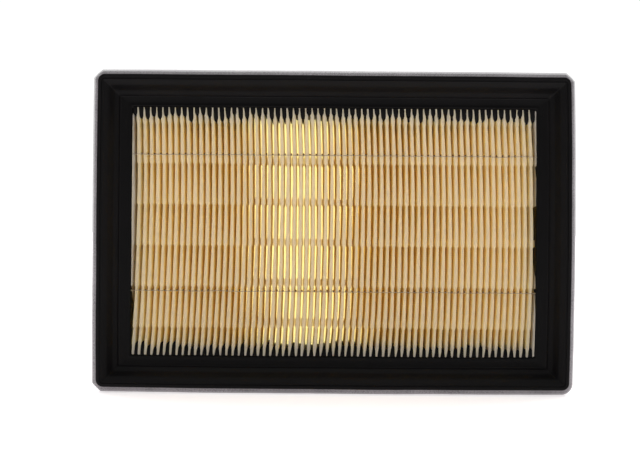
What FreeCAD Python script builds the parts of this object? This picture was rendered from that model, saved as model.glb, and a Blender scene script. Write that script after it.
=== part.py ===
import FreeCAD, Part
import os

# A panel air filter for a motorcycle's airbox, standing on its lower long edge.
# A soft polyurethane frame is cast round one pleated sheet of paper, whose pleats run
# up and down. Two thin spacing threads cross the pleats on the inlet side and two on the
# outlet side, glued to every crest.
# +X runs along the long side, +Y from the inlet face to the outlet face, +Z up.
# The origin is under the middle of the filter, on the surface that it stands on.
# All sizes are in millimetres.

# Overall size
frame_width = 235.0
frame_height = 157.0
frame_depth = 42.0

# Sealing flange: it grows outwards from the inlet face, then keeps its width to its rear face
flange_depth = 10.5
flare_depth = 4.5
flare_width = 2.7
corner_chamfer = 4.2
corner_radius = 5.4
face_corner_radius = 3.4

# Body behind the flange: it goes into the airbox's opening
flange_overhang = 7.0
body_draft = 0.8
body_corner_radius = 6.0

# Inlet face, from the flare inwards: a flat band, a groove, the funnel and a step down to the ledge
face_band = 1.6
groove_width = 0.9
groove_depth = 0.8
funnel_width = 6.8
funnel_depth = 7.2
step_width = 0.6
ledge_depth = 8.2

# Opening in which the pleats show: its distance from the outer edge on each side
side_border = 18.6
end_border = 17.9
rear_bevel_width = 2.0
rear_bevel_depth = 2.2

# Pleated sheet
paper_thickness = 0.4
pleat_pitch_aim = 3.04
crest_width = 1.85
crest_recess = 8.8
rear_crest_recess = 2.6
end_potting = 4.0
edge_potting = 1.5

# Spacing threads, placed from the middle of the opening
thread_width = 0.6
thread_height = 0.4
upper_thread_rise = 37.6
lower_thread_drop = 29.1

# Worked out
inlet_y = -frame_depth / 2
outlet_y = frame_depth / 2
middle_z = frame_height / 2
opening_width = frame_width - 2 * side_border
opening_height = frame_height - 2 * end_border
pleat_count = round(opening_width / pleat_pitch_aim)
pleat_pitch = opening_width / pleat_count
front_crest_y = inlet_y + crest_recess
rear_crest_y = outlet_y - rear_crest_recess
band_inset = flare_width + face_band
funnel_inset = band_inset + groove_width
step_inset = funnel_inset + funnel_width
ledge_inset = step_inset + step_width

CHAMFER = "chamfer"
ROUND = "round"
# Lower left, lower right, upper right, upper left, as seen from the inlet side
flange_corners = (CHAMFER, ROUND, CHAMFER, CHAMFER)
round_corners = (ROUND, ROUND, ROUND, ROUND)


def point(x, y, z):
    return FreeCAD.Vector(x, y, z)


def corner_arc(start, corner, end, size):
    """Quarter circle between two sides that meet squarely at corner."""
    toward_start = (start - corner).normalize()
    toward_end = (end - corner).normalize()
    centre = corner + (toward_start + toward_end) * size
    middle = centre - (toward_start + toward_end).normalize() * size
    return Part.Arc(start, middle, end).toShape()


def outline(inset, y, sizes, styles=round_corners):
    """Closed wire in the plane y, inset from the frame's outer edge, with its corners cut or rounded."""
    half_width = frame_width / 2 - inset
    low = inset
    high = frame_height - inset
    corners = [
        point(-half_width, y, low),
        point(half_width, y, low),
        point(half_width, y, high),
        point(-half_width, y, high),
    ]
    edges = []
    for i, corner in enumerate(corners):
        before = (corners[i - 1] - corner).normalize()
        after = (corners[(i + 1) % len(corners)] - corner).normalize()
        start = corner + before * sizes[i]
        end = corner + after * sizes[i]
        if styles[i] == ROUND:
            edges.append(corner_arc(start, corner, end, sizes[i]))
        else:
            edges.append(Part.makeLine(start, end))
        next_corner = corners[(i + 1) % len(corners)]
        edges.append(Part.makeLine(end, next_corner - after * sizes[(i + 1) % len(corners)]))
    return Part.Wire(edges)


def sharp_outline(inset, y):
    """Closed rectangle in the plane y, inset from the frame's outer edge."""
    half_width = frame_width / 2 - inset
    corners = [
        point(-half_width, y, inset),
        point(half_width, y, inset),
        point(half_width, y, frame_height - inset),
        point(-half_width, y, frame_height - inset),
    ]
    return Part.makePolygon(corners + corners[:1])


def between(first, second):
    """Solid with straight sides between two closed wires."""
    return Part.makeLoft([first, second], True, True)


def opening_block():
    """Block as large as the opening, through the whole depth of the frame."""
    corner = point(-opening_width / 2, inlet_y, end_border)
    return Part.makeBox(opening_width, frame_depth, opening_height, corner)


def opening_outline(y, extra=0.0):
    """Rectangle of the opening in the plane y, grown by extra on each side."""
    half_width = opening_width / 2 + extra
    low = end_border - extra
    high = frame_height - end_border + extra
    corners = [
        point(-half_width, y, low),
        point(half_width, y, low),
        point(half_width, y, high),
        point(-half_width, y, high),
    ]
    return Part.makePolygon(corners + corners[:1])


def flange_sizes():
    return [corner_radius if style == ROUND else corner_chamfer for style in flange_corners]


def make_flange():
    """Sealing flange: a flared front part and a straight rear part, as one solid."""
    flare_y = inlet_y + flare_depth
    face_wire = outline(flare_width, inlet_y, [face_corner_radius] * len(flange_corners))
    edge_wire = outline(0, flare_y, flange_sizes(), flange_corners)
    back_wire = outline(0, inlet_y + flange_depth, flange_sizes(), flange_corners)
    return between(face_wire, edge_wire).fuse(between(edge_wire, back_wire))


def make_body():
    """Block behind the flange that goes into the airbox, a little narrower at the outlet face."""
    sizes = [body_corner_radius] * len(round_corners)
    front = outline(flange_overhang, inlet_y + flange_depth, sizes)
    back = outline(flange_overhang + body_draft, outlet_y, sizes)
    return between(front, back)


def make_groove():
    """Ring cut into the inlet face between the flat band and the funnel."""
    floor_y = inlet_y + groove_depth
    outer = between(sharp_outline(band_inset, inlet_y), sharp_outline(band_inset, floor_y))
    inner = between(sharp_outline(funnel_inset, inlet_y), sharp_outline(funnel_inset, floor_y))
    return outer.cut(inner)


def make_inlet_hollow():
    """Funnel with four mitred walls, and the lower space above the ledge."""
    funnel_foot_y = inlet_y + funnel_depth
    ledge_y = inlet_y + ledge_depth
    funnel = between(sharp_outline(funnel_inset, inlet_y), sharp_outline(step_inset, funnel_foot_y))
    step = between(sharp_outline(step_inset, funnel_foot_y), sharp_outline(ledge_inset, ledge_y))
    return funnel.fuse(step)


def make_outlet_hollow():
    """Bevel round the opening on the outlet side."""
    bevel_start = opening_outline(outlet_y - rear_bevel_depth)
    return between(bevel_start, opening_outline(outlet_y, rear_bevel_width))


def sheet_path(thickness):
    """Points along one side of the folded sheet: the inlet side for 0, the outlet side for its thickness."""
    left = -opening_width / 2
    half_crest = crest_width / 2 - thickness
    front_y = front_crest_y + thickness
    rear_y = rear_crest_y - paper_thickness + thickness
    points = [(left - edge_potting, front_y)]
    for i in range(pleat_count):
        crest_x = left + i * pleat_pitch
        next_crest_x = crest_x + pleat_pitch
        points.append((crest_x + half_crest, front_y))
        points.append((crest_x + half_crest, rear_y))
        points.append((next_crest_x - half_crest, rear_y))
        points.append((next_crest_x - half_crest, front_y))
    points.append((-left + edge_potting, front_y))
    return points


def make_media():
    """One sheet of paper folded into pleats, as tall as the opening plus its two potted ends."""
    low = end_border - end_potting
    inlet_side = sheet_path(0.0)
    outlet_side = sheet_path(paper_thickness)
    loop = [point(x, y, low) for x, y in inlet_side + outlet_side[::-1]]
    face = Part.Face(Part.makePolygon(loop + loop[:1]))
    return face.extrude(point(0, 0, opening_height + 2 * end_potting))


def make_thread(y_start, centre_z):
    """Thread from one side wall of the frame to the other, across all the crests of one side."""
    corner = point(-opening_width / 2, y_start, centre_z - thread_width / 2)
    return Part.makeBox(opening_width, thread_height, thread_width, corner)


def make_frame(media):
    """The casting, with the paper's potted ends cut out of it so that the two meet face to face."""
    solid = make_flange().fuse(make_body()).removeSplitter()
    solid = solid.cut(make_groove())
    solid = solid.cut(make_inlet_hollow())
    solid = solid.cut(opening_block())
    solid = solid.cut(make_outlet_hollow())
    return solid.cut(media)


def make_parts():
    media = make_media()
    upper_z = middle_z + upper_thread_rise
    lower_z = middle_z - lower_thread_drop
    inlet_thread_y = front_crest_y - thread_height
    return {
        "frame": make_frame(media),
        "pleated_media": media,
        "inlet_thread_upper": make_thread(inlet_thread_y, upper_z),
        "inlet_thread_lower": make_thread(inlet_thread_y, lower_z),
        "outlet_thread_upper": make_thread(rear_crest_y, upper_z),
        "outlet_thread_lower": make_thread(rear_crest_y, lower_z),
    }


os.makedirs("parts", exist_ok=True)
for name, shape in make_parts().items():
    shape.exportStep(os.path.join("parts", name + ".step"))
    print(name, "solids", len(shape.Solids), "valid", shape.isValid(), "volume", round(shape.Volume, 1))
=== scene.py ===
import math

import bpy
import numpy as np
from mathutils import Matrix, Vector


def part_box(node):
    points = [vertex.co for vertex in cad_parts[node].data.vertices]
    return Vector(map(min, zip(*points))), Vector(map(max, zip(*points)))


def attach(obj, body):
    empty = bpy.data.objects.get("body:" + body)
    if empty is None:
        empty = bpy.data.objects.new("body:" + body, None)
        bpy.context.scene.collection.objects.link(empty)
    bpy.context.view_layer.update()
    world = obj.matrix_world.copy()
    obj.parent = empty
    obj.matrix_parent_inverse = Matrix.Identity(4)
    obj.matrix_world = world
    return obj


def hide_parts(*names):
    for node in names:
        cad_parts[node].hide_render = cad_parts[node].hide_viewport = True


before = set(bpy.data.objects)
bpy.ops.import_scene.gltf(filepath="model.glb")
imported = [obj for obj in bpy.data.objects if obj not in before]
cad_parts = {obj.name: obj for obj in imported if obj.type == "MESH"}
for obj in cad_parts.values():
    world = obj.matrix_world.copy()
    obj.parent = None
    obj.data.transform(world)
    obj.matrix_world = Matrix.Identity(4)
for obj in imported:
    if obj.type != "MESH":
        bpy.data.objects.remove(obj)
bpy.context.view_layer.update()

# The air filter, standing on its lower long edge, as seen square on to its inlet face.
# Sizes below are in millimetres and become metres where a mesh is made.
MM = 0.001
BODY = "root"
rng = np.random.default_rng(11)


# ---------------------------------------------------------------- sizes

def box_mm(node):
    """Lowest and highest corner of a CAD node in millimetres."""
    low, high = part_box(node)
    return np.array(low) / MM, np.array(high) / MM


frame_low, frame_high = box_mm("frame")
media_low, media_high = box_mm("pleated_media")

# Section of the frame, from the outer edge inwards and from the inlet face backwards
FLANGE_DEPTH = 10.5
FLARE_DEPTH = 4.5
FLARE_WIDTH = 2.7
FLANGE_OVERHANG = 7.0
BODY_DRAFT = 0.8
FACE_BAND = 1.6
GROOVE_WIDTH = 0.9
GROOVE_DEPTH = 0.8
FUNNEL_WIDTH = 6.8
FUNNEL_DEPTH = 7.2
STEP_WIDTH = 0.6
LEDGE_DEPTH = 8.2
REAR_BEVEL_WIDTH = 2.0
REAR_BEVEL_DEPTH = 2.2
CORNER_CHAMFER = 4.2
CORNER_RADIUS = 5.4
FACE_CORNER_RADIUS = 3.4
BODY_CORNER_RADIUS = 6.0

# The pleated sheet
END_POTTING = 4.0
EDGE_POTTING = 1.5
PAPER_THICKNESS = 0.4
PLEAT_PITCH_AIM = 3.04

half_width = (frame_high[0] - frame_low[0]) / 2
frame_height = frame_high[2] - frame_low[2]
middle_z = frame_height / 2
inlet_y = frame_low[1]
outlet_y = frame_high[1]
frame_depth = outlet_y - inlet_y
front_crest_y = media_low[1]
rear_crest_y = media_high[1]
opening_half = media_high[0] - EDGE_POTTING
opening_low = media_low[2] + END_POTTING
opening_high = media_high[2] - END_POTTING
side_border = half_width - opening_half
end_border = opening_low - frame_low[2]
pleat_count = round(2 * opening_half / PLEAT_PITCH_AIM)
pleat_pitch = 2 * opening_half / pleat_count


# ---------------------------------------------------------------- mesh helpers

def smooth_step(value, start, end):
    """0 before start, 1 after end, and a smooth rise between them."""
    t = np.clip((value - start) / (end - start), 0.0, 1.0)
    return t * t * (3 - 2 * t)


def make_object(name, points_mm, faces, materials, sharp_angle=50.0):
    """Mesh object from points in millimetres, riding on the body."""
    mesh = bpy.data.meshes.new(name)
    mesh.from_pydata((np.asarray(points_mm) * MM).tolist(), [], faces)
    for material in materials:
        mesh.materials.append(material)
    mesh.polygons.foreach_set("use_smooth", [True] * len(mesh.polygons))
    mesh.set_sharp_from_angle(angle=math.radians(sharp_angle))
    mesh.update()
    piece = bpy.data.objects.new(name, mesh)
    bpy.context.scene.collection.objects.link(piece)
    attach(piece, BODY)
    return piece


def grid_faces(rows, columns, close_rows=False, close_columns=False, first=0):
    """Quads between neighbouring points of a grid stored row by row."""
    faces = []
    for r in range(rows if close_rows else rows - 1):
        below = first + r * columns
        above = first + ((r + 1) % rows) * columns
        for c in range(columns if close_columns else columns - 1):
            d = (c + 1) % columns
            faces.append((below + c, below + d, above + d, above + c))
    return faces


class Waves:
    """Smooth noise: a few sine waves with set random directions, for any number of points."""

    def __init__(self, wavelength, dimensions, count=6):
        directions = rng.normal(size=(count, dimensions))
        directions /= np.linalg.norm(directions, axis=1)[:, None]
        lengths = wavelength * rng.uniform(0.7, 1.6, count)
        self.steps = directions * (2 * math.pi / lengths)[:, None]
        self.phases = rng.uniform(0, 2 * math.pi, count)

    def __call__(self, *coordinates):
        """One value near -1 to 1 for each point, from as many coordinates as there are dimensions."""
        points = np.stack(np.broadcast_arrays(*coordinates), axis=-1)
        turns = points @ self.steps.T + self.phases
        return np.sin(turns).sum(axis=-1) / math.sqrt(len(self.phases))


# ---------------------------------------------------------------- materials

def new_material(name):
    """Empty material to which nodes are added."""
    material = bpy.data.materials.new(name)
    material.use_nodes = True
    material.node_tree.nodes.clear()
    return material


class Nodes:
    """Short way to add linked shader nodes to one material or world."""

    def __init__(self, material):
        self.tree = material.node_tree

    def add(self, kind, inputs=None, **settings):
        node = self.tree.nodes.new(kind)
        for key, value in settings.items():
            setattr(node, key, value)
        for key, value in (inputs or {}).items():
            if isinstance(value, bpy.types.NodeSocket):
                self.tree.links.new(value, node.inputs[key])
            else:
                node.inputs[key].default_value = value
        return node

    def noise(self, vector, scale, detail=4.0, roughness=0.55):
        inputs = {"Vector": vector, "Scale": scale, "Detail": detail, "Roughness": roughness}
        return self.add("ShaderNodeTexNoise", inputs).outputs["Fac"]

    def stretched(self, vector, scales):
        return self.add("ShaderNodeMapping", {"Vector": vector, "Scale": scales}).outputs["Vector"]

    def ramp(self, value, stops):
        """Colour ramp; each stop is a place and an RGB colour or a grey."""
        node = self.add("ShaderNodeValToRGB", {"Fac": value})
        elements = node.color_ramp.elements
        while len(elements) < len(stops):
            elements.new(0.5)
        for element, (place, colour) in zip(elements, stops):
            element.position = place
            rgb = (colour,) * 3 if isinstance(colour, (int, float)) else colour
            element.color = (*rgb, 1.0)
        return node.outputs["Color"]

    def math(self, operation, first, second):
        inputs = {0: first, 1: second}
        return self.add("ShaderNodeMath", inputs, operation=operation).outputs["Value"]

    def bump(self, height, distance, strength=1.0, normal=None):
        inputs = {"Height": height, "Distance": distance, "Strength": strength}
        if normal is not None:
            inputs["Normal"] = normal
        return self.add("ShaderNodeBump", inputs).outputs["Normal"]

    def output(self, shader):
        self.add("ShaderNodeOutputMaterial", {"Surface": shader})


def polyurethane(name, dark, light, roughness_low, roughness_high, specular):
    """Moulded foam skin: nearly black, with a fine pebbled surface, small pits and soft cloudy sheen."""
    material = new_material(name)
    n = Nodes(material)
    place = n.add("ShaderNodeTexCoord").outputs["Object"]
    clouds = n.noise(place, 60.0)
    grain = n.noise(place, 1400.0, detail=3.0)
    colour = n.ramp(clouds, [(0.3, dark), (0.75, light)])
    roughness = n.ramp(grain, [(0.3, roughness_low), (0.7, roughness_high)])
    pits = n.add("ShaderNodeTexVoronoi", {"Vector": place, "Scale": 330.0}, feature="F1")
    pit_depth = n.ramp(pits.outputs["Distance"], [(0.0, 0.0), (0.16, 1.0)])
    skin = n.bump(grain, 0.00004)
    dents = n.bump(pit_depth, 0.00012, strength=0.6, normal=skin)
    shader = n.add("ShaderNodeBsdfPrincipled", {
        "Base Color": colour,
        "Roughness": roughness,
        "Normal": dents,
        "Specular IOR Level": specular,
    })
    n.output(shader.outputs["BSDF"])
    return material


def filter_paper(name):
    """Resin-treated paper: fibres and cloudy patches, rough, and it lets warm light through.

    The paper is a thin solid. Its outer side scatters the light both ways, and its inner side lets
    light out as it is, so that a sheet scatters once in all.
    """
    material = new_material(name)
    n = Nodes(material)
    place = n.add("ShaderNodeTexCoord").outputs["Object"]
    clouds = n.noise(place, 90.0)
    fibres = n.noise(n.stretched(place, (1.0, 1.0, 0.25)), 1500.0, detail=5.0, roughness=0.7)
    mottle = n.noise(place, 520.0, detail=3.0)
    tone = n.math("ADD", n.math("MULTIPLY", clouds, 0.4), n.math("MULTIPLY", fibres, 0.6))
    reflected = n.ramp(tone, [(0.35, (0.405, 0.37, 0.32)), (0.65, (0.425, 0.39, 0.345))])
    passed = n.ramp(mottle, [(0.3, (0.56, 0.50, 0.20)), (0.7, (0.57, 0.52, 0.235))])
    surface = n.bump(fibres, 0.00006, strength=0.8)
    opaque = n.add("ShaderNodeBsdfPrincipled", {
        "Base Color": reflected,
        "Roughness": 0.85,
        "Specular IOR Level": 0.05,
        "Normal": surface,
    })
    through = n.add("ShaderNodeBsdfTranslucent", {"Color": passed, "Normal": surface})
    outside = n.add("ShaderNodeAddShader", {0: opaque.outputs["BSDF"], 1: through.outputs["BSDF"]})
    inside = n.add("ShaderNodeBsdfTransparent")
    is_inner_side = n.add("ShaderNodeNewGeometry").outputs["Backfacing"]
    sides = {0: is_inner_side, 1: outside.outputs["Shader"], 2: inside.outputs["BSDF"]}
    n.output(n.add("ShaderNodeMixShader", sides).outputs["Shader"])
    return material


def glued_thread(name):
    """Thin twisted thread of the paper's colour, stained by glue."""
    material = new_material(name)
    n = Nodes(material)
    place = n.add("ShaderNodeTexCoord").outputs["Object"]
    patches = n.noise(place, 700.0)
    colour = n.ramp(patches, [(0.3, (0.30, 0.24, 0.15)), (0.7, (0.52, 0.44, 0.31))])
    shader = n.add("ShaderNodeBsdfPrincipled", {
        "Base Color": colour,
        "Roughness": n.ramp(patches, [(0.3, 0.5), (0.7, 0.8)]),
        "Specular IOR Level": 0.2,
        "Normal": n.bump(n.noise(place, 2600.0), 0.00004),
    })
    n.output(shader.outputs["BSDF"])
    return material


def brown_glue(name):
    """Drops of hard brown glue."""
    material = new_material(name)
    n = Nodes(material)
    place = n.add("ShaderNodeTexCoord").outputs["Object"]
    patches = n.noise(place, 900.0)
    shader = n.add("ShaderNodeBsdfPrincipled", {
        "Base Color": n.ramp(patches, [(0.3, (0.09, 0.045, 0.015)), (0.7, (0.20, 0.11, 0.04))]),
        "Roughness": n.ramp(patches, [(0.3, 0.35), (0.7, 0.55)]),
        "Specular IOR Level": 0.2,
        "Normal": n.bump(patches, 0.00005),
    })
    n.output(shader.outputs["BSDF"])
    return material


def table_top(name):
    """White acrylic table, lit a little from below."""
    material = new_material(name)
    n = Nodes(material)
    place = n.add("ShaderNodeTexCoord").outputs["Object"]
    colour = n.ramp(n.noise(place, 6.0), [(0.3, (0.84, 0.815, 0.825)), (0.7, (0.87, 0.85, 0.86))])
    shader = n.add("ShaderNodeBsdfPrincipled", {
        "Base Color": colour,
        "Roughness": 0.6,
        "Specular IOR Level": 0.2,
        "Emission Color": (1.0, 0.97, 0.975, 1.0),
        "Emission Strength": 0.65,
    })
    n.output(shader.outputs["BSDF"])
    return material


skin_black = polyurethane(
    "frame_skin", dark=(0.0013, 0.0010, 0.0012), light=(0.0028, 0.0022, 0.0026),
    roughness_low=0.38, roughness_high=0.55, specular=0.13)
# Rim of the flange: the same black foam, but its paler grey base colour is a painted highlight standing
# in for the grazing reflection of the bright tent on the rim; its high specular level and low roughness
# are the foam's real gloss.
rim_painted_highlight = polyurethane(
    "frame_rim_painted_highlight", dark=(0.08, 0.070, 0.078), light=(0.17, 0.152, 0.165),
    roughness_low=0.2, roughness_high=0.38, specular=1.0)
skin_potting = polyurethane(
    "frame_potting", dark=(0.0012, 0.0010, 0.0011), light=(0.0026, 0.0022, 0.0024),
    roughness_low=0.3, roughness_high=0.5, specular=0.09)
paper = filter_paper("filter_paper")
thread_material = glued_thread("glued_thread")
glue_material = brown_glue("brown_glue")


# ---------------------------------------------------------------- frame

CHAMFERED = (True, False, True, True)     # lower left, lower right, upper right, upper left
CHAMFER_SOFTNESS = 0.15   # 0 for a straight cut, 1 for a full round
LONG_STEPS = 96           # points along a long side of an outline
SHORT_STEPS = 64          # and along a short side
CORNER_STEPS = 8
SEGMENT_LIMIT = 3.5       # longest stretch of the section that isn't divided
FILLET_STEPS = 4
FILLET_SHARE = 0.45       # most that a fillet may take of the stretch beside it

# Places in the section where a surface bends, as shares of its width and depth
FLARE_BEND = (0.42, 0.36)
FUNNEL_BENDS = ((0.30, 0.76), (0.62, 0.31))
FUNNEL_EDGE_DEPTH = 0.05  # the funnel's outer edge lies this far behind the face band
# The ledge's lip round the opening: distance from the opening's wall, depth below the ledge, fillet
LEDGE_LIP = ((0.0, 0.9, 0.3), (0.7, -0.1, 0.4), (2.0, 0.2, 0.5))
SHARP_CORNER = 0.5        # corner size of the funnel's outlines
OPENING_CORNER = 1.0
BAND_CORNER = 1.7
FLARE_BEND_CORNER = 0.6   # how far the middle of the flare has the flange's own corners

# The casting's surface is a little uneven, and lies just inside its nominal shape
SKIN_RECESS = 0.08
SLOW_WAVELENGTH = 38.0
SLOW_SWELL = 0.05
QUICK_WAVELENGTH = 9.0
QUICK_SWELL = 0.02

# Material slots of the casting, and where they change in its section
SKIN, RIM, POTTING = 0, 1, 2
RIM_END = FLARE_DEPTH + 1.4
RIM_INSET = FLARE_WIDTH + 0.05
LEDGE_RANGE = (LEDGE_DEPTH - 0.3, LEDGE_DEPTH + 1.5)
LEDGE_WIDTH = 5.0


def mixed_corner(k, plain_size, flange_share):
    """Size of corner k of an outline between a plain one, at share 0, and the flange's own, at 1."""
    flange_size = CORNER_CHAMFER if CHAMFERED[k] else CORNER_RADIUS
    return plain_size + flange_share * (flange_size - plain_size)


def outline(side_inset, end_inset, depth, corner_size, flange_share):
    """Points round one closed outline of the frame. flange_share 1 gives the flange's own corners."""
    x = half_width - side_inset
    low = end_inset
    high = frame_height - end_inset
    corners = np.array([(-x, low), (x, low), (x, high), (-x, high)])
    steps = (LONG_STEPS, SHORT_STEPS, LONG_STEPS, SHORT_STEPS)
    points = []
    for k in range(4):
        before = corners[k - 1] - corners[k]
        after = corners[(k + 1) % 4] - corners[k]
        before = before / np.linalg.norm(before)
        after = after / np.linalg.norm(after)
        size = mixed_corner(k, corner_size, flange_share)
        roundness = 1 - flange_share * (1 - CHAMFER_SOFTNESS) if CHAMFERED[k] else 1.0
        start = corners[k] + before * size
        end = corners[k] + after * size
        centre = start + after * size
        for step in range(CORNER_STEPS + 1):
            share = step / CORNER_STEPS
            angle = share * math.pi / 2
            arc = centre - after * size * math.cos(angle) - before * size * math.sin(angle)
            chord = start + (end - start) * share
            points.append(chord + (arc - chord) * roundness)
        next_k = (k + 1) % 4
        stop = corners[next_k] - after * mixed_corner(next_k, corner_size, flange_share)
        for step in range(1, steps[k]):
            points.append(end + (stop - end) * step / steps[k])
    flat = np.array(points)
    return np.column_stack([flat[:, 0], np.full(len(flat), inlet_y + depth), flat[:, 1]])


def at_edge(inset, depth, fillet, corner_size, flange_share=0.0):
    """Corner of the frame's section, measured from the outer edge."""
    return (np.array([inset, inset, depth, corner_size, flange_share]), fillet)


def at_opening(outward, depth, fillet, corner_size):
    """Corner of the frame's section, measured outwards from the opening's wall."""
    values = np.array([side_border - outward, end_border - outward, depth, corner_size, 0.0])
    return (values, fillet)


def frame_section():
    """Corners of the section, each with its fillet.

    They run from the rim over the flange, body, outlet face, opening, ledge and funnel to the face band.
    """
    band_inset = FLARE_WIDTH + FACE_BAND
    funnel_inset = band_inset + GROOVE_WIDTH
    foot_inset = funnel_inset + FUNNEL_WIDTH
    ledge_inset = foot_inset + STEP_WIDTH
    flare_bend = (FLARE_WIDTH * FLARE_BEND[0], FLARE_DEPTH * FLARE_BEND[1])
    lip = [at_opening(outward, LEDGE_DEPTH + below, fillet, OPENING_CORNER)
           for outward, below, fillet in LEDGE_LIP]
    funnel = [at_edge(foot_inset - FUNNEL_WIDTH * across, FUNNEL_DEPTH * deep, 0.8, SHARP_CORNER)
              for across, deep in FUNNEL_BENDS]
    return [
        at_edge(FLARE_WIDTH, 0.0, 0.3, FACE_CORNER_RADIUS),
        at_edge(*flare_bend, 0.3, FACE_CORNER_RADIUS, FLARE_BEND_CORNER),
        at_edge(0.0, FLARE_DEPTH, 0.5, FACE_CORNER_RADIUS, 1.0),
        at_edge(0.0, FLANGE_DEPTH, 0.5, FACE_CORNER_RADIUS, 1.0),
        at_edge(FLANGE_OVERHANG, FLANGE_DEPTH, 0.8, BODY_CORNER_RADIUS),
        at_edge(FLANGE_OVERHANG + BODY_DRAFT, frame_depth, 1.0, BODY_CORNER_RADIUS),
        at_opening(REAR_BEVEL_WIDTH, frame_depth, 0.4, OPENING_CORNER),
        at_opening(0.0, frame_depth - REAR_BEVEL_DEPTH, 0.3, OPENING_CORNER),
        *lip,
        at_edge(ledge_inset, LEDGE_DEPTH, 0.25, SHARP_CORNER),
        at_edge(foot_inset, FUNNEL_DEPTH, 0.25, SHARP_CORNER),
        *funnel,
        at_edge(funnel_inset, FUNNEL_EDGE_DEPTH, 0.2, SHARP_CORNER),
        at_edge(funnel_inset, GROOVE_DEPTH, 0.1, SHARP_CORNER),
        at_edge(band_inset, GROOVE_DEPTH, 0.1, BAND_CORNER),
        at_edge(band_inset, 0.0, 0.2, BAND_CORNER),
    ]


def rounded_section(corners):
    """Section with its corners rounded and its long stretches divided."""
    rows = []
    for i, (corner, fillet) in enumerate(corners):
        previous = corners[i - 1][0]
        following = corners[(i + 1) % len(corners)][0]
        toward_previous = previous - corner
        toward_following = following - corner
        reach_previous = np.linalg.norm(toward_previous[1:3])
        reach_following = np.linalg.norm(toward_following[1:3])
        start = corner + toward_previous * min(fillet / reach_previous, FILLET_SHARE)
        end = corner + toward_following * min(fillet / reach_following, FILLET_SHARE)
        if rows:
            last = rows[-1]
            pieces = math.ceil(np.linalg.norm((start - last)[1:3]) / SEGMENT_LIMIT)
            for piece in range(1, pieces):
                rows.append(last + (start - last) * piece / pieces)
        for step in range(FILLET_STEPS + 1):
            t = step / FILLET_STEPS
            rows.append((1 - t) ** 2 * start + 2 * t * (1 - t) * corner + t * t * end)
    return rows


# The soft frame bulges: its sides are widest at mid-height, most of all the right one
LEFT_BOW = 0.35
RIGHT_BOW = 1.0
BOTTOM_BOW = 0.45
TOP_BOW = 0.1


def bowed(points):
    """The frame's points with its corners drawn in a little, so that its sides bow outwards."""
    x, z = points[:, 0], points[:, 2] - middle_z
    across = x / half_width
    up = z / (frame_height / 2)
    side_bow = np.where(x > 0, RIGHT_BOW, LEFT_BOW)
    end_bow = np.where(z > 0, TOP_BOW, BOTTOM_BOW)
    new_x = x - across * side_bow * up ** 2
    new_z = z - up * end_bow * across ** 2
    return np.column_stack([new_x, points[:, 1], middle_z + new_z])


def strip_material(corner):
    """Material slot of the strip of the casting that starts at one point of the section."""
    inset, depth = corner[0], corner[2]
    if depth < RIM_END and inset < RIM_INSET:
        return RIM
    if LEDGE_RANGE[0] < depth < LEDGE_RANGE[1] and inset > side_border - LEDGE_WIDTH:
        return POTTING
    return SKIN


def make_frame():
    """The whole casting as one closed ring with its section swept round it."""
    section = rounded_section(frame_section())
    rings = [outline(*corner) for corner in section]
    columns = len(rings[0])
    points = bowed(np.vstack(rings))
    slow = Waves(SLOW_WAVELENGTH, 3)
    quick = Waves(QUICK_WAVELENGTH, 3)
    swell = SLOW_SWELL * slow(*points.T) + QUICK_SWELL * quick(*points.T)
    centre = np.array([0.0, 0.0, middle_z])
    outward = (points - centre) / np.linalg.norm(points - centre, axis=1)[:, None]
    inner = np.clip(points - outward * (SKIN_RECESS + swell)[:, None], frame_low, frame_high)
    faces = grid_faces(len(rings), columns, close_rows=True, close_columns=True)
    materials = [skin_black, rim_painted_highlight, skin_potting]
    piece = make_object("frame_casting", inner, faces, materials, sharp_angle=42.0)
    slots = np.repeat([strip_material(corner) for corner in section], columns)
    piece.data.polygons.foreach_set("material_index", slots.tolist())
    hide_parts("frame")
    return piece


# ---------------------------------------------------------------- pleated sheet

RIB_PITCH = 20.1          # pressed ribs that keep the pleats apart
TOP_RIB_Z = 113.6
RIB_COUNT = 5
RIB_HEIGHT = 3.4
RIB_SLOPE = 0.9           # height over which a rib rises to its full swell
RIB_SWELL = 0.46          # how far a rib pushes each wall of a pleat into the inlet gap
LEFT_WALL_BULGE = 0.22    # the left wall of each inlet gap stands a little into it
SWELL_FULLNESS = 0.5      # power that makes a wall's swell full over most of its depth
GAP_BELOW_RIB = 1.95      # width of the inlet gap just below a rib
GAP_ABOVE_RIB = 1.2       # just above the next one
GAP_AT_RIB = 1.2          # and on a rib
GAP_NARROWING = 0.7       # power that makes the gap narrow soonest just below a rib
VALLEY_SKEW = -0.47       # the valleys lean to the left going back
LOW_VALLEY_SKEW = -0.15   # and less so near the bottom
LOW_ZONE = (12.0, 40.0)   # heights above the opening's lower edge between which the skew changes
REAR_FOLD_WIDTH = 1.9
REAR_FOLD_DEPTH = 0.7
CREST_DEPTH = 0.36        # how far back the rounding of a crest reaches
CREST_FLATNESS = 0.75     # power that flattens the middle of a crest
CREST_UNEVENNESS = 0.10
EDGE_OVERRUN = 0.9        # extra paper hidden in the frame at the sheet's two edges
DRIFT_TOP = 122.4         # height at which the pleats stand straight above their place
DRIFT_SPAN = 97.5
LEAN = (2.04, 4.15)       # how the pleats drift sideways in their height, at the left and at the right
BEND = (-3.94, -4.6)

# How unevenly the gaps are placed and how much their width varies: the size of each unevenness, and
# how many times faster than its wavelength it changes across the pleats and up them
PLACE_WANDER = 0.12
PLACE_JITTER = 0.035
JITTER_ACROSS = 2.5
WIDTH_WANDER = 0.08
WIDTH_ACROSS, WIDTH_UP = 5.0, 0.3
VALLEY_WANDER = 0.11
VALLEY_ACROSS, VALLEY_UP = 1.5, 0.6
FACE_ACROSS = 3.0

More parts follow.
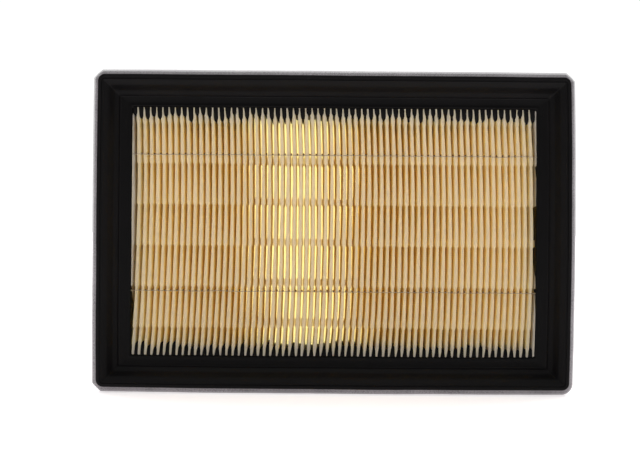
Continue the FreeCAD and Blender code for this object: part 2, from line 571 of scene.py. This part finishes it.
# Foam that has risen between the pleats at both ends: its length and width in each gap
TOP_TONGUE_LENGTH = (3.8, 8.4)
TOP_TONGUE_WIDTH = (2.05, 2.4)
BOTTOM_TONGUE_LENGTH = (4.0, 7.4)
BOTTOM_TONGUE_WIDTH = (1.6, 2.0)
REAR_TONGUE_LENGTH = (3.5, 6.5)
ROOT_FLARE = (0.05, 0.75)     # extra width of a tongue at the ledge
ROOT_FLARE_LENGTH = 2.2
TIP_BLUNTNESS = 9         # power that keeps a tongue's width until close to its tip
SHORT_SHARE = 1.6         # power that makes short tongues more common than long ones
CENTRE_SHORTENING = 0.25  # the tongues are shorter by this share in the middle of each end

rib_heights = [TOP_RIB_Z - RIB_PITCH * i for i in range(RIB_COUNT)]
tongue_count = pleat_count + 4
place_waves = Waves(70.0, 2)
place_jitter = Waves(30.0, 2)
valley_waves = Waves(32.0, 2)
width_waves = Waves(26.0, 2)
face_waves = Waves(35.0, 2)


def tongue_lengths(shortest, longest):
    """One length for each gap of an end, mostly short, and shortest in the middle of the end."""
    spread = rng.uniform(0.0, 1.0, tongue_count) ** SHORT_SHARE
    along = np.linspace(-1, 1, tongue_count)
    return (shortest + (longest - shortest) * spread) * (1 - CENTRE_SHORTENING * (1 - along ** 2))


top_lengths = tongue_lengths(*TOP_TONGUE_LENGTH)
top_widths = rng.uniform(*TOP_TONGUE_WIDTH, tongue_count)
bottom_lengths = tongue_lengths(*BOTTOM_TONGUE_LENGTH)
bottom_widths = rng.uniform(*BOTTOM_TONGUE_WIDTH, tongue_count)
rear_lengths = rng.uniform(*REAR_TONGUE_LENGTH, (2, tongue_count))
top_flares = rng.uniform(*ROOT_FLARE, tongue_count)
bottom_flares = rng.uniform(*ROOT_FLARE, tongue_count)


def drift(x, z):
    """Sideways drift of the pleats in their height: they lean right, then swing back to the left."""
    down = (DRIFT_TOP - z) / DRIFT_SPAN
    across = (x + opening_half) / (2 * opening_half)
    lean = LEAN[0] + (LEAN[1] - LEAN[0]) * across
    bend = BEND[0] + (BEND[1] - BEND[0]) * across
    return lean * down + bend * down ** 2


def rib_share(z):
    """1 on a pressed rib, 0 away from it."""
    total = np.zeros_like(z)
    inner = RIB_HEIGHT / 2 - RIB_SLOPE / 2
    outer = RIB_HEIGHT / 2 + RIB_SLOPE / 2
    for rib in rib_heights:
        total += 1 - smooth_step(np.abs(z - rib), inner, outer)
    return total


def below_rib(z):
    """0 just below a rib, rising to 1 just above the next rib down."""
    position = ((TOP_RIB_Z - RIB_HEIGHT / 2 - z) / RIB_PITCH) % 1.0
    return np.clip(position / (1 - RIB_HEIGHT / RIB_PITCH), 0.0, 1.0)


def tongue_half(from_edge, length, width, root_flare=0.0):
    """Half the width of a tongue of foam at a distance from the ledge; 0 past its rounded tip."""
    share = np.clip(from_edge / length, 0.0, 1.0)
    flare = root_flare * (1 - smooth_step(from_edge, 0.0, ROOT_FLARE_LENGTH))
    return (width + flare) / 2 * np.sqrt(1 - share ** TIP_BLUNTNESS)


def top_tongue_half(i, z):
    """Half the width of the tongue that hangs into gap i from the upper ledge."""
    return tongue_half(opening_high - z, top_lengths[i + 1], top_widths[i + 1], top_flares[i + 1])


def bottom_tongue_half(i, z):
    """Half the width of the tongue that stands in gap i on the lower ledge."""
    return tongue_half(z - opening_low, bottom_lengths[i + 1], bottom_widths[i + 1], bottom_flares[i + 1])


def gap_centre(i, z):
    """Middle of the inlet gap between crests i and i + 1."""
    x = -opening_half + (i + 0.5) * pleat_pitch
    wander = PLACE_WANDER * place_waves(x, z)
    jitter = PLACE_JITTER * place_jitter(JITTER_ACROSS * x, z)
    return x + drift(x, z) + wander + jitter


def gap_half(i, z):
    """Half the width of that gap at the crests."""
    x = -opening_half + (i + 0.5) * pleat_pitch
    gap = GAP_BELOW_RIB + (GAP_ABOVE_RIB - GAP_BELOW_RIB) * below_rib(z) ** GAP_NARROWING
    gap = gap + (GAP_AT_RIB - gap) * rib_share(z)
    gap = gap + WIDTH_WANDER * width_waves(WIDTH_ACROSS * x, WIDTH_UP * z)
    return np.maximum(gap / 2, np.maximum(top_tongue_half(i, z), bottom_tongue_half(i, z)))


def rear_centre(i, z):
    """Middle of the fold at the back of the gap between crests i and i + 1."""
    x = -opening_half + (i + 0.5) * pleat_pitch
    low_share = 1 - smooth_step(z, opening_low + LOW_ZONE[0], opening_low + LOW_ZONE[1])
    skew = VALLEY_SKEW + (LOW_VALLEY_SKEW - VALLEY_SKEW) * low_share
    return gap_centre(i, z) + skew + VALLEY_WANDER * valley_waves(VALLEY_ACROSS * x, VALLEY_UP * z)


# Rows of the sheet: distances from each end of the opening, from the middle of a rib, and as shares of
# the stretch from one rib down to the next
END_ROWS = (0.0, 1.2, 2.4, 3.6, 4.6, 5.6, 6.8, 8.4)
RIB_ROWS = (-2.15, -1.25, 0.0, 1.25, 2.15)
BETWEEN_RIBS = (0.22, 0.40, 0.58, 0.76)
ABOVE_TOP_RIB = 0.25
LEAST_ROW_STEP = 0.6


def sheet_heights():
    """Heights of the sheet's rows: close together at the ribs and near the potted ends."""
    heights = [media_low[2], media_high[2]]
    heights += [opening_low + step for step in END_ROWS]
    heights += [opening_high - step for step in END_ROWS]
    for rib in rib_heights:
        heights += [rib + step for step in RIB_ROWS]
        heights += [rib - RIB_PITCH * share for share in BETWEEN_RIBS]
    heights.append(TOP_RIB_Z + RIB_PITCH * ABOVE_TOP_RIB)
    heights = sorted(heights)
    kept = heights[:1]
    for height in heights[1:-1]:
        if height - kept[-1] > LEAST_ROW_STEP:
            kept.append(height)
    return np.array(kept + heights[-1:])


CREST_ANGLES = np.radians([180, 132, 90, 48, 0])
REAR_ANGLES = np.radians([180, 90, 0])
WALL_SHARES = (0.34, 0.72)
HALF_PAPER = PAPER_THICKNESS / 2
sheet_front_y = front_crest_y + HALF_PAPER
sheet_rear_y = rear_crest_y - HALF_PAPER


def crest_columns(i, z):
    """Columns of points over crest i, from its left side to its right side."""
    sheet_end = opening_half + EDGE_POTTING + EDGE_OVERRUN
    left = np.full_like(z, -sheet_end)
    right = np.full_like(z, sheet_end)
    if i > 0:
        left = gap_centre(i - 1, z) + gap_half(i - 1, z) + HALF_PAPER
    if i < pleat_count:
        right = gap_centre(i, z) - gap_half(i, z) - HALF_PAPER
    middle = (left + right) / 2
    half = (right - left) / 2
    surface = sheet_front_y + CREST_UNEVENNESS * (1 + face_waves(FACE_ACROSS * i, z))
    for angle in CREST_ANGLES:
        sideways = math.copysign(abs(math.cos(angle)) ** CREST_FLATNESS, math.cos(angle))
        yield middle + half * sideways, surface + CREST_DEPTH * (1 - math.sin(angle))


def wall_columns(i, z, side, shares):
    """Columns down one wall of gap i: side is -1 for its left wall and 1 for its right wall."""
    front = gap_centre(i, z) + side * (gap_half(i, z) + HALF_PAPER)
    rear = rear_centre(i, z) + side * (REAR_FOLD_WIDTH / 2 - HALF_PAPER)
    bulge = LEFT_WALL_BULGE if side < 0 else 0.0
    full_swell = bulge + (RIB_SWELL - bulge) * rib_share(z)
    for share in shares:
        swell = full_swell * math.sin(math.pi * share) ** SWELL_FULLNESS
        depth = sheet_front_y + (sheet_rear_y - sheet_front_y) * share
        yield front + (rear - front) * share - side * swell, np.full_like(z, depth)


def rear_fold_columns(i, z):
    """Columns round the fold at the back of gap i."""
    half = REAR_FOLD_WIDTH / 2 - HALF_PAPER
    for angle in REAR_ANGLES:
        depth = sheet_rear_y - REAR_FOLD_DEPTH * (1 - math.sin(angle))
        yield rear_centre(i, z) + half * math.cos(angle), np.full_like(z, depth)


def sheet_columns(z):
    """Middle of the paper as columns of points, from the left end of the sheet to the right end."""
    for i in range(pleat_count):
        yield from crest_columns(i, z)
        yield from wall_columns(i, z, -1, WALL_SHARES)
        yield from rear_fold_columns(i, z)
        yield from wall_columns(i, z, 1, WALL_SHARES[::-1])
    yield from crest_columns(pleat_count, z)


def make_media():
    """The folded sheet of paper, as a surface that a modifier gives its thickness."""
    z = sheet_heights()
    points = np.stack([np.column_stack([x, y, z]) for x, y in sheet_columns(z)], axis=1)
    rows, columns = points.shape[:2]
    faces = grid_faces(rows, columns)
    points = points.reshape(-1, 3)
    piece = make_object("pleated_paper", points, faces, [paper], sharp_angle=80.0)
    solid = piece.modifiers.new("thickness", "SOLIDIFY")
    solid.thickness = PAPER_THICKNESS * MM
    solid.offset = 0.0
    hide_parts("pleated_media")
    return piece


# ---------------------------------------------------------------- potting between the pleats

TONGUE_SHARES = (0.0, 0.25, 0.5, 0.65, 0.78, 0.88, 0.95, 0.99)     # rings from the ledge to the tip
TONGUE_ROOT = -2.0        # where a tongue starts, inside the frame
TONGUE_RECESS = 0.35      # its face lies this far behind the crests
TIP_RETREAT = 0.9         # and this much further at its tip
TIP_POWER = 4
TONGUE_END_GAP = 0.9      # it stops this far from the crests of the other side
PAPER_GRIP = 0.08         # how far it reaches into the paper on each side
# Its face: place across it from -1 to 1, and how far back that is
TONGUE_FACE = ((-1.0, 0.28), (-0.55, 0.06), (0.0, 0.0), (0.55, 0.06), (1.0, 0.28))


def closed_tube(points, faces, rings):
    """Adds a tube through rings of equally many points, closed at both ends."""
    first = len(points)
    columns = len(rings[0])
    for ring in rings:
        points.extend(ring)
    faces.extend(grid_faces(len(rings), columns, close_columns=True, first=first))
    faces.append(tuple(range(first + columns - 1, first - 1, -1)))
    last = first + (len(rings) - 1) * columns
    faces.append(tuple(range(last, last + columns)))


def tongue_steps(length):
    """Distances from the ledge at which a tongue has its rings, and how near to its tip each one is."""
    along = np.array([TONGUE_ROOT] + [share * length for share in TONGUE_SHARES])
    return along, np.maximum(along, 0.0) / length


def tongue_rings(z, centres, halves, tips, y_near, y_far):
    """Rings of one tongue at the heights z, each with its middle, half width and nearness to the tip."""
    backward = 1 if y_far > y_near else -1
    far_limit = REAR_FOLD_WIDTH / 2 - PAPER_THICKNESS + PAPER_GRIP
    rings = []
    for height, x, half, tip in zip(z, centres, halves + PAPER_GRIP, tips):
        lip = y_near + backward * (TONGUE_RECESS + TIP_RETREAT * tip ** TIP_POWER)
        far_half = min(half, far_limit)
        ring = [(x + half * across, lip + backward * back, height) for across, back in TONGUE_FACE]
        ring += [(x + far_half, y_far, height), (x - far_half, y_far, height)]
        rings.append(ring)
    return rings


def inlet_tongue(i, edge_z, inward, length, half_of):
    """Rings of the tongue between inlet crests i and i + 1 at one end of the pleats."""
    along, tips = tongue_steps(length)
    z = edge_z + inward * along
    y_far = rear_crest_y - TONGUE_END_GAP
    return tongue_rings(z, gap_centre(i, z), half_of(i, z), tips, front_crest_y, y_far)


def outlet_tongue(i, edge_z, inward, length):
    """Rings of the tongue between outlet folds i and i + 1 at one end of the pleats."""
    along, tips = tongue_steps(length)
    z = edge_z + inward * along
    centres = (rear_centre(i, z) + rear_centre(i + 1, z)) / 2
    halves = tongue_half(np.abs(z - edge_z), length, pleat_pitch - REAR_FOLD_WIDTH)
    y_far = front_crest_y + TONGUE_END_GAP
    return tongue_rings(z, centres, halves, tips, rear_crest_y, y_far)


def make_tongues():
    """All the tongues: between the inlet crests and between the outlet folds, at both ends."""
    points = []
    faces = []
    ends = (
        (opening_high, -1, top_lengths, top_tongue_half, rear_lengths[0]),
        (opening_low, 1, bottom_lengths, bottom_tongue_half, rear_lengths[1]),
    )
    for edge_z, inward, lengths, half_of, back_lengths in ends:
        for i in range(pleat_count):
            closed_tube(points, faces, inlet_tongue(i, edge_z, inward, lengths[i + 1], half_of))
        for i in range(pleat_count - 1):
            closed_tube(points, faces, outlet_tongue(i, edge_z, inward, back_lengths[i]))
    materials = [skin_potting]
    return make_object("frame_potting_tongues", points, faces, materials, sharp_angle=60.0)


# ---------------------------------------------------------------- spacing threads

THREAD_HALF_HEIGHT = 0.14
THREAD_HALF_DEPTH = 0.11
THREAD_SIDES = 8
THREAD_STEPS_PER_PLEAT = 8
THREAD_OVERRUN = 0.5      # hidden in the frame at each end
THREAD_INSET = 0.05       # the crests that it lies on are this far behind the CAD crests
THREAD_LIFT = 0.7         # share of its half depth by which its middle stands off them
THREAD_DIP = 0.55         # it sinks this far between two crests
DIP_START = 0.24          # in pleats from the middle of a crest
TWIST_SIZE = 0.15         # unevenness of its twist, as a share of its thickness
TWIST_TURN = 2.4          # and its turn in radians from one ring to the next
WANDER_HEIGHT = 0.10
WANDER_LENGTH = 26.0
DROP_DEPTH = 1.0          # the drops of glue sit this far behind the crests and this far up
DROP_RISE = 0.3
DROP_SIZE = (0.42, 0.40, 0.62)
DROP_SPREAD = 0.25        # how much their heights differ, as a share
DROP_RINGS = 5
DROP_SIDES = 8
GLUE_SLOT = 1             # material slot of the drops


def add_drop(points, faces, centre):
    """Adds one drop of glue as a closed ellipsoid of a random height."""
    first = len(points)
    stretch = 1 + DROP_SPREAD * rng.uniform(-1, 1)
    for r in range(1, DROP_RINGS):
        tilt = math.pi * r / DROP_RINGS
        for s in range(DROP_SIDES):
            turn = 2 * math.pi * s / DROP_SIDES
            points.append((
                centre[0] + DROP_SIZE[0] * math.sin(tilt) * math.cos(turn),
                centre[1] + DROP_SIZE[1] * math.sin(tilt) * math.sin(turn),
                centre[2] + DROP_SIZE[2] * stretch * math.cos(tilt),
            ))
    faces.extend(grid_faces(DROP_RINGS - 1, DROP_SIDES, close_columns=True, first=first))
    top = len(points)
    points.append((centre[0], centre[1], centre[2] + DROP_SIZE[2] * stretch))
    points.append((centre[0], centre[1], centre[2] - DROP_SIZE[2] * stretch))
    last = first + (DROP_RINGS - 2) * DROP_SIDES
    for s in range(DROP_SIDES):
        t = (s + 1) % DROP_SIDES
        faces.append((first + t, first + s, top))
        faces.append((last + s, last + t, top + 1))


def thread_path(level_z, surface, outward, first_crest):
    """Middle of a thread that lies over the crests of one side and dips a little between them."""
    steps = pleat_count * THREAD_STEPS_PER_PLEAT
    x = np.linspace(-opening_half - THREAD_OVERRUN, opening_half + THREAD_OVERRUN, steps + 1)
    level = np.full_like(x, level_z)
    index = (x + opening_half - drift(x, level)) / pleat_pitch - first_crest
    dip = THREAD_DIP * smooth_step(np.abs(index - np.round(index)), DIP_START, 0.5)
    y = surface + outward * (THREAD_HALF_DEPTH * THREAD_LIFT) - outward * dip
    wander = Waves(WANDER_LENGTH, 1)
    return x, y, level + WANDER_HEIGHT * wander(x)


def thread_rings(x, y, z):
    """Rings of points round a thread, a little uneven as if it were twisted."""
    rings = []
    for k in range(len(x)):
        ring = []
        for side in range(THREAD_SIDES):
            angle = 2 * math.pi * side / THREAD_SIDES
            twist = 1 + TWIST_SIZE * math.sin(k * TWIST_TURN + side)
            ring.append((
                x[k],
                y[k] + THREAD_HALF_DEPTH * math.sin(angle) * twist,
                z[k] + THREAD_HALF_HEIGHT * math.cos(angle) * twist,
            ))
        rings.append(ring)
    return rings


def make_thread(node, on_inlet):
    """Thread glued over the crests of one side, with a drop of glue in each gap."""
    low, high = box_mm(node)
    z_middle = (low[2] + high[2]) / 2
    outward = -1 if on_inlet else 1
    surface = (front_crest_y if on_inlet else rear_crest_y) - outward * THREAD_INSET
    first_crest = 0.0 if on_inlet else 0.5      # in pleats from the opening's left side
    points = []
    faces = []
    closed_tube(points, faces, thread_rings(*thread_path(z_middle, surface, outward, first_crest)))
    thread_faces = len(faces)
    for i in range(pleat_count):
        centre_x = -opening_half + (i + first_crest + 0.5) * pleat_pitch
        centre_x += float(drift(np.array([centre_x]), np.array([z_middle]))[0])
        add_drop(points, faces, (centre_x, surface - outward * DROP_DEPTH, z_middle + DROP_RISE))
    materials = [thread_material, glue_material]
    piece = make_object("thread_" + node, points, faces, materials, sharp_angle=80.0)
    for polygon in piece.data.polygons[thread_faces:]:
        polygon.material_index = GLUE_SLOT
    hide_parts(node)
    return piece


make_frame()
make_media()
make_tongues()
make_thread("inlet_thread_upper", True)
make_thread("inlet_thread_lower", True)
make_thread("outlet_thread_upper", False)
make_thread("outlet_thread_lower", False)


# ---------------------------------------------------------------- floor, light and camera

FLOOR_HALF_SIZE = 30.0        # metres


def make_floor():
    """Wide white table top under the filter."""
    mesh = bpy.data.meshes.new("floor")
    size = FLOOR_HALF_SIZE
    corners = [(-size, -size, 0), (size, -size, 0), (size, size, 0), (-size, size, 0)]
    mesh.from_pydata(corners, [], [(0, 1, 2, 3)])
    mesh.materials.append(table_top("table_top"))
    floor = bpy.data.objects.new("floor", mesh)
    bpy.context.scene.collection.objects.link(floor)


BACKGROUND_LIGHT = 1.05
RING_LIGHT = 2.2
MIDDLE_LIGHT = 1.05
FRONT_LIGHT = 0.78
CAMERA_SIDE_LIGHT = 0.32
FRONT_FLANK_LIGHT = 0.30
FLANK_LIGHT = 0.20
# Places along the tent and the light there: 0 is straight behind the camera, 1 straight in front of it
RING_STOPS = [(0.66, RING_LIGHT), (0.88, RING_LIGHT), (0.955, BACKGROUND_LIGHT)]
MIDDLE_STOPS = [
    (0.03, CAMERA_SIDE_LIGHT), (0.10, FRONT_LIGHT), (0.42, MIDDLE_LIGHT), (0.55, MIDDLE_LIGHT)]
FLANK_STOPS = [
    (0.03, CAMERA_SIDE_LIGHT), (0.10, FRONT_FLANK_LIGHT), (0.30, FLANK_LIGHT), (0.55, FLANK_LIGHT)]
FLANK_RANGE = (0.18, 0.5)     # sideways part of a direction, over which the middle becomes the flank


def make_world():
    """White light tent, with a brighter ring round the background and dimmer flanks and camera side."""
    world = bpy.data.worlds.new("tent")
    world.use_nodes = True
    world.node_tree.nodes.clear()
    n = Nodes(world)
    direction = n.add("ShaderNodeTexCoord").outputs["Generated"]
    parts = n.add("ShaderNodeSeparateXYZ", {"Vector": direction}).outputs
    along = n.math("ADD", n.math("MULTIPLY", parts["Y"], 0.5), 0.5)
    tones = [n.ramp(along, [(place, light / RING_LIGHT) for place, light in stops + RING_STOPS])
             for stops in (MIDDLE_STOPS, FLANK_STOPS)]
    aside = n.math("ABSOLUTE", parts["X"], 0.0)
    sideways = n.ramp(aside, [(FLANK_RANGE[0], 0.0), (FLANK_RANGE[1], 1.0)])
    both = n.add("ShaderNodeMix", {0: sideways, 6: tones[0], 7: tones[1]}, data_type="RGBA")
    background = n.add("ShaderNodeBackground", {"Color": both.outputs[2], "Strength": RING_LIGHT})
    n.add("ShaderNodeOutputWorld", {"Surface": background.outputs["Background"]})
    bpy.context.scene.world = world


CAMERA_DISTANCE = 0.611       # metres from the inlet face
CAMERA_SIDE = -0.0068         # metres from the filter's middle
CAMERA_HEIGHT = 0.0794        # metres above the table
FACE_SCALE = 0.0004821        # metres of the inlet face that one of the image's 640 columns covers
IMAGE_WIDTH = 640
CAMERA_ROLL = -0.45           # degrees


def make_camera():
    """Camera square on to the inlet face, rolled a little."""
    camera = bpy.data.cameras.new("camera")
    camera.sensor_width = 36.0
    camera.lens = camera.sensor_width * CAMERA_DISTANCE / (FACE_SCALE * IMAGE_WIDTH)
    camera.clip_start = 0.01
    camera.clip_end = 100.0
    eye = bpy.data.objects.new("camera", camera)
    eye.location = (CAMERA_SIDE, inlet_y * MM - CAMERA_DISTANCE, CAMERA_HEIGHT)
    eye.rotation_euler = (math.radians(90), math.radians(CAMERA_ROLL), 0)
    bpy.context.scene.collection.objects.link(eye)
    bpy.context.scene.camera = eye


make_floor()
make_world()
make_camera()
bpy.context.scene.view_settings.view_transform = "Standard"
# Light passes from pleat to pleat many times before it leaves the paper
cycles = bpy.context.scene.cycles
cycles.diffuse_bounces = 10
cycles.transmission_bounces = 14
cycles.max_bounces = 20
cycles.transparent_max_bounces = 16
